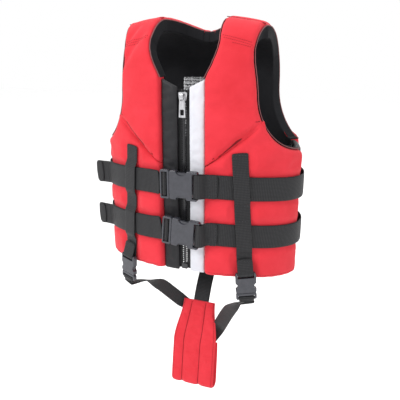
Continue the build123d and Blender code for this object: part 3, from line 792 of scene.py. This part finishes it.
def lining(who, grids, side, rims):
    """The lining of some panels with the bands on their cut edges; adds the edges' beads."""
    bands = [edge_run(line, middle, RIM_LOW, RIM_HIGH, 0.5 * MM) for line, middle in rims]
    for line, middle in rims:
        beads.append(edge_run(line, middle, RIM_HIGH - 0.6 * MM, RIM_HIGH + 1.0 * MM, 0.9 * MM))
    sheets = [sheet(grid, side, LINING_OUT) for grid in grids]
    joined(f"lining_{who}_cover", sheets + [sweep(bands, RIM_HIGH - RIM_LOW, 1.6 * MM)],
           LINING, [f"lining_{who}"])


for who, side in SIDES.items():
    middle = torso(asin(80 * MM / HALF_W) * side, 330 * MM)[0]
    strap_middle = torso(*over(85 * MM, 10 * MM))[0] * (side, 1, 1)
    low_middle = torso(asin(120 * MM / HALF_W) * side, 120 * MM)[0]
    lining(who, (lower_grid, upper_grid, side_grid, shoulder_grid), side,
           [(line_on(neckline, side), middle), (line_on(arm_high, side), middle),
            (line_on(arm_low, side), low_middle), (line_over(neck_curve, side), strap_middle),
            (line_over(strap_outer, side), strap_middle)])
back_middle = torso(pi, 200 * MM)[0]
lining("back", [back_grid], 1, [(line_on(line[1:]), back_middle) for line in (back_right, back_left)])
joined("edge_overlock", [sweep(beads, 1.8 * MM, 1.2 * MM)], OVERLOCK, [])


def groove_shade_run(line, low):
    """A dark strip of painted shade in the bottom of a seam's groove, as a run for sweep."""
    heading = line[0][-1] - line[0][0]
    return [(Vector(p + n * low), Vector(np.cross(n, heading))) for p, n in zip(*line)]


# Painted shade: dark red strips in the bottoms of the dart grooves and the shoulder seams, where the
# furrows are shaded
DART_SHADE_LINE = [front(x * MM, z * MM) for x, z in ((54, 193.56), (109, 242.51))]
dart_groove_shade = [groove_shade_run(line_on(DART_SHADE_LINE, side), -4.6 * MM) for side in SIDES.values()]
shoulder_groove_shade = [groove_shade_run(line_over(shoulder_seam, side), -0.9 * MM) for side in SIDES.values()]
joined("painted_seam_shade", [sweep(dart_groove_shade, 3.4 * MM, 1.4 * MM), sweep(shoulder_groove_shade, 1.7 * MM, 1.2 * MM)],
       SEAM_SHADE_AND_THREAD, [])

LABEL_HALF = 58 * MM
label_phi = asin(LABEL_HALF / (HALF_W - FOAM))
label_rows = [[(pi + a * label_phi, corner[2] - HEM) for a in (-1, 1)]
              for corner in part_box("label_patch")]
label_grid = coons(*label_rows, *zip(*label_rows), 5 * MM)
joined("label_print", [sheet(label_grid, 1, LINING_OUT - 1.5 * MM)], LABEL, ["label_patch"])


# ------------------------------------------------------------------ webbing
WRAP_STEP, WRAP_SWAY = 3.5 * MM, 0.3 * MM
BELT_OUT = 1.3 * MM         # a belt's middle above the foam
PLY = 2.1 * MM              # from one layer of belt to the next


def strap_mesh(name, node, runs, width=WAIST_WEB, body="root"):
    """Webbing swept along runs of (centre, across) pairs, in place of its CAD node."""
    return joined(name, [sweep(runs, width, WEB)], WEBBING, [node], body)


def wrap_path(angle_from, angle_to, height, out):
    """Webbing round the torso at a height, as (centre, across) pairs."""
    count = max(3, int(abs(angle_to - angle_from) * TURN / WRAP_STEP))
    run = []
    for i in range(count + 1):
        phi = angle_from + (angle_to - angle_from) * i / count
        wobble = noise.noise(Vector((phi * 3, height * 40, 0.4))) * WRAP_SWAY
        p, _ = torso(phi, height + wobble * 2, out + abs(wobble))
        run.append((Vector(p), Vector((0, 0, 1))))
    return run


def arc(centre, radius, start, end, count=10):
    """Points on an arc in a plane, angles in degrees."""
    return [(centre[0] + radius * cos(radians(start + (end - start) * i / count)),
             centre[1] + radius * sin(radians(start + (end - start) * i / count)))
            for i in range(count + 1)]


class Buckle:
    """A buckle's own frame, read from its joints: x to the female half, y through, z across."""

    def __init__(self, name, mouth):
        hinges = [Vector(JOINTS[f"{name}_prong_{t}_squeeze"]["pos_m"]) for t in "ab"]
        self.x = -Vector(JOINTS[f"{name}_release"]["axis"])
        self.y = Vector(JOINTS[f"{name}_prong_a_squeeze"]["axis"])
        self.z = self.x.cross(self.y)
        self.middle = (hinges[0] + hinges[1]) / 2 - self.x * mouth

    def at(self, x, y):
        """A point given in the buckle's frame, in millimetres."""
        return self.middle + (self.x * x + self.y * y) * MM

    def run(self, path):
        """Webbing that lies across the buckle's width along a path in its frame."""
        return [(self.at(x, y), self.z) for x, y in path]


WAIST_MOUTH, CROTCH_MOUTH = -15.2 * MM, -11.7 * MM          # prong hinges from a buckle's middle
BAR_X, BAR_WRAP = 28.7, 3.95        # the female half's bar and its webbing's radius, in mm
LADDER_X, LADDER_WRAP, LADDER_EXIT = -23.9, 3.1, -33.5      # the male half's, and its open end
LEAD_START_X = -86 * MM       # the free lead begins under the keeper strap
RUN_OFF_X = 50 * MM           # where a belt leaves the foam for its buckle


def belt_set(belt):
    """One waist belt: round the body, both buckle ends, the lead, the fold and the tail."""
    height = BELT_Z[belt]
    buckle = Buckle(f"{belt}_waist", WAIST_MOUTH)
    up = Vector((0, 0, 1))
    left = asin(43 * MM / HALF_W)
    lead_phi = 2 * pi + asin(LEAD_START_X / HALF_W)
    body_run = wrap_path(left, lead_phi, height, BELT_OUT)
    first = body_run[0][0]
    inner_end = buckle.at(BAR_X + 8, 4.6)
    loop = [(first + Vector((5, 0.4, 0)) * MM, up), (first, up), (first.lerp(inner_end, 0.5), up)]
    loop += buckle.run([(BAR_X + 8, 4.6)] + arc((BAR_X, 0), BAR_WRAP, 90, 270)
                       + [(BAR_X + 6, -3.6)])
    sewn = wrap_path(left - 0.01, asin(59 * MM / HALF_W), height, BELT_OUT + PLY)
    loop += [(buckle.at(BAR_X + 6, -3.6).lerp(sewn[0][0], 0.6), up)] + sewn
    strap_mesh(f"{belt}_belt_web", f"{belt}_belt", [body_run])
    strap_mesh(f"{belt}_belt_loop_web", f"{belt}_belt_left_end", [loop])

    leads = []
    for lift, exit_y in ((0.0, 3.5), (PLY, 1.4)):
        run = wrap_path(lead_phi, 2 * pi - asin(RUN_OFF_X / HALF_W), height, BELT_OUT + lift)
        leave, arrive = run[-1][0], buckle.at(LADDER_EXIT, exit_y)
        run += [(leave.lerp(arrive, k / 4), up.lerp(buckle.z, k / 4)) for k in (1, 2, 3, 4)]
        leads.append(run)
    lead = strap_mesh(f"{belt}_belt_lead_web", f"{belt}_belt_lead", leads)
    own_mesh(lead)

    fold = ([(LADDER_EXIT, 3.5), (-28.4, 3.4)] + arc((LADDER_X, 0), LADDER_WRAP, 90, -160)
            + [(-30.2, 1.3), (LADDER_EXIT, 1.4)])
    strap_mesh(f"{belt}_belt_fold_web", f"{belt}_belt_fold", [buckle.run(fold)],
               body=f"{belt}_waist_male_body")

    tail = wrap_path(lead_phi, 2 * pi - radians(62), height, BELT_OUT + PLY)
    heading = tail[-1][0]
    tip_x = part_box(f"{belt}_belt_tail")[0][0] - 2 * MM
    tip = Vector((tip_x, -38 * MM, height + HEM - 9 * MM))
    bend = heading.lerp(tip, 0.5) + Vector((1, -1, 0)) * MM
    curve = [heading.lerp(bend, k / 4).lerp(bend.lerp(tip, k / 4), k / 4) for k in range(1, 5)]
    tail += [(p, up) for p in curve]
    fold_back = [(p + Vector((1.3, -2.0, 0)) * MM, up) for p in reversed(curve[1:])]
    strap_mesh(f"{belt}_belt_tail_web", f"{belt}_belt_tail", [tail, fold_back])


for belt in BELT_Z:
    belt_set(belt)

CROTCH_STAND = 6.6              # a crotch buckle's middle in front of the foam, in mm
CROTCH_BAR_X, CROTCH_GRIP_X = 20.7, -21.4
V_PATHS = {     # x, depth and height above the hem in mm, and the direction across the webbing
    "right": ((-85, -57, -47, 0.4, -0.8, 0.4), (-69, -38, -61, 0.5, 0.1, 0.84),
              (-55, -21, -83, 0.4, 0.1, 0.9), (-40, -4, -107, 0.2, 0, 1),
              (-26, 4, -124, 0.6, 0, 0.6), (-14, 1, -171, 1, 0, 0)),
    "left": ((84, -60, -57, -0.3, -0.9, 0.3), (70, -48, -77, -0.77, -0.4, 0.5),
             (57, -35, -100, -0.77, -0.3, 0.55), (43, -20, -128, -0.8, -0.2, 0.5),
             (30, -3, -154, -0.9, 0, 0.3), (15, -1, -178, -1, 0, 0)),
}


def keeper_strap(who, side, buckle):
    """A keeper strap: down over the belts and round the crotch buckle's bar."""
    run = []
    for v in np.linspace(KEEPER_TOP, 26 * MM, 60):
        gap = min(abs(v - height) for height in BELT_Z.values()) - WAIST_WEB / 2
        rise = ease(min(1.0, max(0.0, 1 - gap / (11 * MM)))) * 4.4 * MM
        run.append((Vector(torso(side * keeper_phi(v), v, BELT_OUT + rise)[0]), buckle.z))
    run += buckle.run([(CROTCH_BAR_X + 8, -CROTCH_STAND + 1.6)]
                      + arc((CROTCH_BAR_X, 0), BAR_WRAP, 270, 90)
                      + [(CROTCH_BAR_X + 10, 0.6), (CROTCH_BAR_X + 18, -1.6),
                         (CROTCH_BAR_X + 26, -2.6)])
    strap_mesh(f"keeper_web_{who}", f"keeper_strap_{who}", [run], CROTCH_WEB)


def spline(marks):
    """A smooth run through (centre, across) pairs, with six steps between each two."""
    run = []
    for i in range(len(marks) - 1):
        p0, p1, p2, p3 = (marks[min(max(i + k, 0), len(marks) - 1)] for k in (-1, 0, 1, 2))
        for t in np.arange(6) / 6:
            centre = 0.5 * ((2 * p1[0]) + (p2[0] - p0[0]) * t
                            + (2 * p0[0] - 5 * p1[0] + 4 * p2[0] - p3[0]) * t * t
                            + (3 * p1[0] - p0[0] - 3 * p2[0] + p3[0]) * t ** 3)
            run.append((centre, p1[1].lerp(p2[1], t)))
    return run + [marks[-1]]


def v_strap(who, side, buckle):
    """The loop on a crotch buckle's male half and the V strap from it to the pad."""
    male = f"crotch_{who}_male_body"
    loop = ([(CROTCH_GRIP_X - 6.6, 1.5)] + arc((CROTCH_GRIP_X, 0), LADDER_WRAP + 0.1, 90, -90)
            + [(CROTCH_GRIP_X - 6.6, -1.5)])
    strap_mesh(f"crotch_{who}_loop_web", f"crotch_{who}_loop", [buckle.run(loop)], CROTCH_WEB, male)
    top = buckle.at(CROTCH_GRIP_X - 6.4, 0)
    inward = buckle.z * -side
    marks = [(top, inward), (top - buckle.x * 4 * MM, inward + Vector((0, -0.3, 0.1)))]
    for x, y, z, a, b, c in V_PATHS[who]:
        marks.append((Vector((x * MM, y * MM, z * MM + HEM)), Vector((a, b, c))))
    strap = strap_mesh(f"crotch_{who}_v_web", f"crotch_v_strap_{who}", [spline(marks)], CROTCH_WEB)
    strap.parent = None
    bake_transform(strap)


for who, side in SIDES.items():
    crotch_buckle = Buckle(f"crotch_{who}", CROTCH_MOUTH)
    keeper_strap(who, side, crotch_buckle)
    v_strap(who, side, crotch_buckle)

back_y = (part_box("crotch_back_webbing")[1][1] - WEB / 2) / MM
BACK_PATH = ((back_y, 34), (back_y, -2), (66, -17), (55, -28), (40, -39), (20, -55), (4, -76),
             (-7.8, -97), (-10, -104))      # depth and height above the hem, in mm
back_run = [(Vector((0, y * MM, HEM + z * MM)), Vector((1, 0, 0))) for y, z in BACK_PATH]
strap_mesh("crotch_back_web", "crotch_back_webbing", [back_run], BACK_WEB)


# ------------------------------------------------------------------ crotch pad
PAD_LINE = ([(-8, -97), (-13, -125), (-20, -160), (-27, -200), (-33, -235)]
            + arc((-27, -252), 9, 190, 350, 8)
            + [(-16, -232), (-14, -215), (-12, -190), (-12, -176)])     # as BACK_PATH
PAD_TOP, PAD_WIDENS = -97 * MM, 80 * MM     # it widens over this height below its top
PAD_ROWS, PAD_COLUMNS = 84, 30


def crotch_pad():
    """A padded sleeve folded into a U, with three sewn columns, and its four rows of stitches."""
    sewn = [[] for _ in range(4)]
    line = resample([(y * MM, z * MM) for y, z in PAD_LINE], PAD_ROWS, 1.0)
    outer, inner, cloth, held = [], [], [], []
    length = 0.0
    for i, (y, z) in enumerate(line):
        along = line[min(i + 1, PAD_ROWS - 1)] - line[max(i - 1, 0)]
        ny, nz = np.array((along[1], -along[0])) / np.linalg.norm(along)
        if i:
            length += np.linalg.norm(line[i] - line[i - 1])
        depth = min(max((PAD_TOP - z) / PAD_WIDENS, 0), 1)
        half = (30.4 + 11.5 * ease(depth)) * MM
        middle = -(3 + 5 * depth) * MM
        seams = (0.27 - 0.02 * depth, 0.72 - 0.08 * depth)
        ends = min(i, PAD_ROWS - 1 - i) / 3.0
        for s in np.linspace(0, 1, PAD_COLUMNS + 1):
            near = min([abs(s - q) * 2 * half for q in seams] + [min(s, 1 - s) * 2 * half])
            swell = 1 - np.exp(-(near / (2.6 * MM)) ** 1.3)
            swell *= min(1.0, 0.25 + 0.75 * ends)
            x = middle + (s - 0.5) * 2 * half
            thick = (0.7 + 3.0 * swell) * MM
            if near < 1.5 * MM or ends < 0.4:
                held.append(len(outer))
            outer.append((x, y + ny * thick, HEM + z + nz * thick))
            inner.append((x, y - ny * thick * 0.7, HEM + z - nz * thick * 0.7))
            cloth.append((x, length, 0))
        for row, s in zip(sewn, (seams[0], seams[1], 0.045, 0.955)):
            row.append(((middle + (s - 0.5) * 2 * half, y, HEM + z), (0, ny, nz)))
    points = np.array(outer + inner)
    faces, _ = grid_faces(PAD_ROWS, PAD_COLUMNS + 1)
    obj = mesh_object("crotch_pad_cover", points, faces, RED, np.array(cloth + cloth))
    turn_outward(obj)
    held += [k + len(outer) for k in held]
    puff(obj, held, points, pressure=2.0, grow=0.015, cap=1.5 * MM)
    subdivide(obj)
    finish_piece(obj, ["crotch_pad"])
    return obj, [tuple(zip(*row)) for row in sewn]


pad, pad_rows = crotch_pad()


# ------------------------------------------------------------------ stitching
def sewn_rows(name, target, rows, material=SEAM_SHADE_AND_THREAD, stitch=2.6 * MM, gap=1.7 * MM,
              thick=0.7 * MM):
    """Rows of raised stitches laid on a piece, along (points, normals) lines."""
    tree = BVHTree.FromObject(target, bpy.context.evaluated_depsgraph_get())
    points, faces, cloth = [], [], []
    for line, normals in rows:
        line, normals = np.array(line, float), np.array(normals, float)
        along = np.concatenate([[0], np.cumsum(np.linalg.norm(np.diff(line, axis=0), axis=1))])
        place = gap
        while place + stitch < along[-1]:
            ends = []
            for q in (place, place + stitch):
                spot = Vector([np.interp(q, along, line[:, k]) for k in range(3)])
                up = Vector([np.interp(q, along, normals[:, k]) for k in range(3)]).normalized()
                hit, _, _, _ = tree.ray_cast(spot + up * 14 * MM, -up, 28 * MM)
                if hit:
                    ends.append((hit + up * thick * 0.2, up))
            place += stitch + gap
            if len(ends) < 2 or (ends[0][0] - ends[1][0]).length > 2 * stitch:
                continue
            (a, up), (b, _) = ends
            across = (b - a).cross(up).normalized() * thick * 0.5
            rise = up * thick * 0.45
            start = len(points)
            for centre, size in ((a, 0.55), (a.lerp(b, 0.5) + rise * 0.5, 1.0), (b, 0.55)):
                for side_of, lift in ((-1, 0), (0, 1), (1, 0), (0, -1)):
                    points.append(centre + (across * side_of + rise * lift) * size)
                    cloth.append(centre)
            for k in (0, 4):
                for j in range(4):
                    i = (j + 1) % 4
                    faces.append((start + k + j, start + k + i, start + k + 4 + i, start + k + 4 + j))
            faces += [tuple(start + j for j in (3, 2, 1, 0)), tuple(start + 8 + j for j in range(4))]
    obj = mesh_object(name, points, faces, material, [tuple(c) for c in cloth])
    turn_outward(obj)
    finish_piece(obj, [])


def front_lines(side, *ends):
    """Straight lines on the front between pairs of points given by x and height, in mm."""
    return [line_on([front(x * MM, z * MM) for x, z in pair], side, count=30) for pair in ends]


HEM_ROW, HEM_END = 7 * MM, 0.04     # height of the hem's stitches and their angle from its ends
STITCH_TURN = 0.155                 # metres per radian: keeps the rows off the keepers' edges
for who, side in SIDES.items():
    lower, upper = panels[f"lower_{who}"], panels[f"upper_{who}"]
    hem_row = [(INNER_PHI + HEM_END, HEM_ROW), (SIDE_FRONT - HEM_END, HEM_ROW)]
    sewn_rows(f"hem_stitches_{who}", lower, [line_on(hem_row, side)], RED_THREAD)
    bar_tacks = (((57, 368), (101, 357)), ((59, 364.6), (101, 353.6)), ((72, 358), (101, 350.5)))
    sewn_rows(f"bar_tack_{who}", upper, front_lines(side, *bar_tacks), stitch=1.8 * MM,
              gap=1.3 * MM, thick=0.8 * MM)
    dart_tacks = (((108, 249), (116, 250)), ((49, 191.5), (54, 196)))
    sewn_rows(f"dart_tack_{who}", upper, front_lines(side, *dart_tacks), stitch=3.4 * MM,
              gap=0.4 * MM, thick=1.2 * MM)
hem_row = [(SIDE_BACK + HEM_END, HEM_ROW), (2 * pi - SIDE_BACK - HEM_END, HEM_ROW)]
sewn_rows("hem_stitches_back", panels["back"], [line_on(hem_row, count=300)], RED_THREAD)
for who, side in SIDES.items():
    rows = []
    for height in (KEEPER_TOP - 3 * MM, KEEPER_TOP - 8 * MM, BELT_Z["upper"] - 26 * MM,
                   BELT_Z["lower"] + 26 * MM, 34 * MM):
        middle = float(keeper_phi(height)) * side
        spread = CROTCH_WEB / 2 / STITCH_TURN
        rows.append(line_on([(middle - spread, height), (middle + spread, height)], count=12))
    sewn_rows(f"keeper_stitches_{who}", bpy.data.objects[f"keeper_web_{who}"], rows, BLACK_THREAD)
for belt, height in BELT_Z.items():
    for piece, places in (("loop", (46, 56)), ("tail", (-152, -156))):
        rows = []
        for x in places:
            phi = asin(x * MM / HALF_W)
            rows.append(line_on([(phi, height - 17 * MM), (phi, height + 17 * MM)], count=12))
        sewn_rows(f"{belt}_belt_{piece}_stitches", bpy.data.objects[f"{belt}_belt_{piece}_web"],
                  rows, BLACK_THREAD)
sewn_rows("pad_edge_stitches", pad, pad_rows[2:], stitch=2.2 * MM, gap=1.2 * MM, thick=0.8 * MM)
sewn_rows("pad_seams", pad, pad_rows[:2], stitch=3.0 * MM, gap=0.1 * MM, thick=1.1 * MM)


# ------------------------------------------------------------------ zip tapes and CAD pieces
for who, side in SIDES.items():
    low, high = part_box(f"zip_tape_{who}")
    middle = (Vector(low) + Vector(high)) / 2
    run = [(Vector((middle.x, middle.y, z)), Vector((1, 0, 0)))
           for z in np.linspace(low[2], high[2], 60)]
    tape = sweep([run], high[0] - low[0], high[1] - low[1])
    joined(f"zip_tape_web_{who}", [tape], TAPE, [f"zip_tape_{who}"])

for name, obj in frame["nodes"].items():
    if "buckle" in name:
        paint = BUCKLE
    elif name in ("zip_slider", "zip_pull"):
        paint = METAL
    elif name.startswith("zip_"):
        paint = TEETH
    else:
        continue        # the foam and the webbing are remade above
    if not obj.material_slots:
        obj.data.materials.append(paint)
    for holder in obj.material_slots:
        holder.material = paint


# ------------------------------------------------------------------ studio
THETA, PITCH, DISTANCE = radians(20.8), radians(17.6), 0.880
right = Vector((cos(THETA), sin(THETA), 0))
target = right * -5.2 * MM + Vector((0, 0, HEM + 95 * MM))
toward = Vector((sin(THETA) * cos(PITCH), -cos(THETA) * cos(PITCH), sin(PITCH)))
camera_data = bpy.data.cameras.new("camera")
camera_data.sensor_width = 36
camera_data.lens = 45.45
camera = bpy.data.objects.new("camera", camera_data)
camera.location = target + toward * DISTANCE
camera.rotation_euler = (-toward).to_track_quat("-Z", "Y").to_euler()
bpy.context.collection.objects.link(camera)
bpy.context.scene.camera = camera


def area_light(name, location, size, power):
    """A soft box aimed at the jacket's middle."""
    data = bpy.data.lights.new(name, "AREA")
    data.shape = "DISK"
    data.size = size
    data.energy = power
    made = bpy.data.objects.new(name, data)
    made.location = location
    aim = Vector((0, 0, HEM + 0.15)) - Vector(location)
    made.rotation_euler = aim.to_track_quat("-Z", "Y").to_euler()
    bpy.context.collection.objects.link(made)


area_light("key_light", (-1.3, -1.7, 1.2), 0.9, 40)
area_light("fill_light", (1.8, -1.2, 0.2), 1.4, 8)
area_light("top_light", (0.2, 0.1, 1.7), 1.2, 12)
area_light("back_light", (0.3, 2.0, 0.6), 1.6, 8)
bpy.context.scene.view_settings.view_transform = "Standard"

PAPER, _, paper_shader = surface_material("floor_paper", 0.9)
paper_shader.inputs["Base Color"].default_value = (0.99, 0.99, 0.99, 1)
FLOOR_Z, FLOOR_HALF = CAD_BOX[0][2] - 0.12, 6
corners = [(a * FLOOR_HALF, b * FLOOR_HALF, FLOOR_Z) for a, b in ((-1, -1), (1, -1), (1, 1), (-1, 1))]
floor = mesh_object("floor", corners, [(0, 1, 2, 3)], PAPER, smooth=False)
world = bpy.data.worlds.new("studio")
world.use_nodes = True
world.node_tree.nodes["Background"].inputs["Color"].default_value = (1, 1, 1, 1)
world.node_tree.nodes["Background"].inputs["Strength"].default_value = 1.0
bpy.context.scene.world = world
